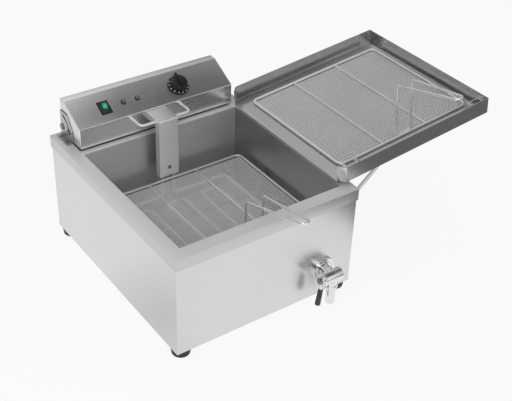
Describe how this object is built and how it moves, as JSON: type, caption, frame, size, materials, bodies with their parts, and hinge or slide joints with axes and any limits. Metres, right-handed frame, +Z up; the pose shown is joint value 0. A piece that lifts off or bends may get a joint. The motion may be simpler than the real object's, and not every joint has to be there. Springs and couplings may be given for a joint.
{
  "type": "counter-top doughnut fryer",
  "caption": "Counter-top doughnut fryer: open steel tank, tilting control head with heating element, wire fry grids with loop handles, lid propped at the side as a drain tray, and a drain tap.",
  "frame": {"origin": "on the floor, on the tread of the front left foot", "axes": "+X to the right along the front, towards the lid; +Y to the rear, towards the control head; +Z up"},
  "size_m": [0.8041, 0.63, 0.4492],
  "materials": {
    "brushed_sheet": "brushed",
    "tank_sheet": "brushed",
    "bright_wire": "polished",
    "element_tube": "satin",
    "fastener": "satin",
    "tap_metal": "polished",
    "brass": "satin",
    "copper_tube": "satin",
    "black_rubber": "matte",
    "black_plastic": "satin",
    "grey_plastic": "matte",
    "green_rocker": "gloss",
    "green_lens": "gloss",
    "clear_lens": "gloss"
  },
  "bodies": {
    "cabinet": {"cabinet_shell": "brushed_sheet", "base_plate": "brushed_sheet", "tank": "tank_sheet", "feet": "black_rubber", "foot_screws": "fastener", "foot_nuts": "fastener", "drain_pipe": "tap_metal", "drain_collar": "tap_metal", "tap_body": "tap_metal", "tap_bonnet": "tap_metal", "tap_spout": "tap_metal", "tilt_brackets": "brushed_sheet", "bracket_screws": "fastener", "pivot_pins": "fastener"},
    "tap_valve": {"tap_plug": "brass", "tap_lever": "tap_metal", "tap_grip": "black_rubber", "tap_nut": "fastener"},
    "control_head": {"head_shell": "brushed_sheet", "head_floor": "brushed_sheet", "floor_screws": "fastener", "slot_pins": "fastener", "riser_cover": "brushed_sheet", "cover_screw": "fastener", "riser_clamp": "fastener", "lift_loop": "bright_wire", "element_flange": "fastener", "heating_element": "element_tube", "grid_rests": "brushed_sheet", "capillary": "copper_tube", "thermostat_body": "grey_plastic", "power_switch": "black_plastic", "lamp_rings": "black_plastic", "green_lens": "green_lens", "clear_lens": "clear_lens", "safety_cutout": "grey_plastic", "terminal_block": "grey_plastic", "tilt_switch": "black_plastic", "cable_gland": "black_plastic"},
    "knob": {"thermostat_knob": "black_plastic", "thermostat_shaft": "fastener"},
    "rocker": {"power_rocker": "green_rocker"},
    "tank_grid": {"tank_grid_frame": "bright_wire", "tank_grid_mesh": "bright_wire", "tank_grid_handle": "bright_wire"},
    "lid": {"lid_tray": "brushed_sheet", "bail_clips": "brushed_sheet"},
    "bail": {"prop_bail": "bright_wire"},
    "lid_grid": {"lid_grid_frame": "bright_wire", "lid_grid_mesh": "bright_wire", "lid_grid_handle": "bright_wire"}
  },
  "joints": [
    {"name": "head_tilt", "type": "hinge", "parent": "cabinet", "child": "control_head", "pos_m": [0.192, 0.46125, 0.274], "axis": [-1, 0, 0], "range_deg": [0, 75]},
    {"name": "knob_turn", "type": "hinge", "parent": "control_head", "child": "knob", "pos_m": [0.26, 0.41487, 0.31802], "axis": [0, 0.4576, -0.8891], "range_deg": [0, 270]},
    {"name": "rocker_tilt", "type": "hinge", "parent": "control_head", "child": "rocker", "pos_m": [0.079, 0.41601, 0.31579], "axis": [-1, 0, 0], "range_deg": [0, 16]},
    {"name": "tap_turn", "type": "hinge", "parent": "cabinet", "child": "tap_valve", "pos_m": [0.329, -0.06525, 0.082], "axis": [-1, 0, 0], "range_deg": [0, 90]},
    {"name": "tank_grid_lift", "type": "slide", "parent": "control_head", "child": "tank_grid", "axis": [0, 0, 1], "range_m": [0, 0.19]},
    {"name": "lid_lift", "type": "slide", "parent": "cabinet", "child": "lid", "axis": [0.2588, 0, 0.9659], "range_m": [0, 0.2]},
    {"name": "lid_grid_lift", "type": "slide", "parent": "lid", "child": "lid_grid", "axis": [-0.1097, 0, 0.994], "range_m": [0, 0.15]},
    {"name": "bail_fold", "type": "hinge", "parent": "lid", "child": "bail", "pos_m": [0.54416, 0.22075, 0.26864], "axis": [0, -1, 0], "range_deg": [0, 144]}
  ]
}
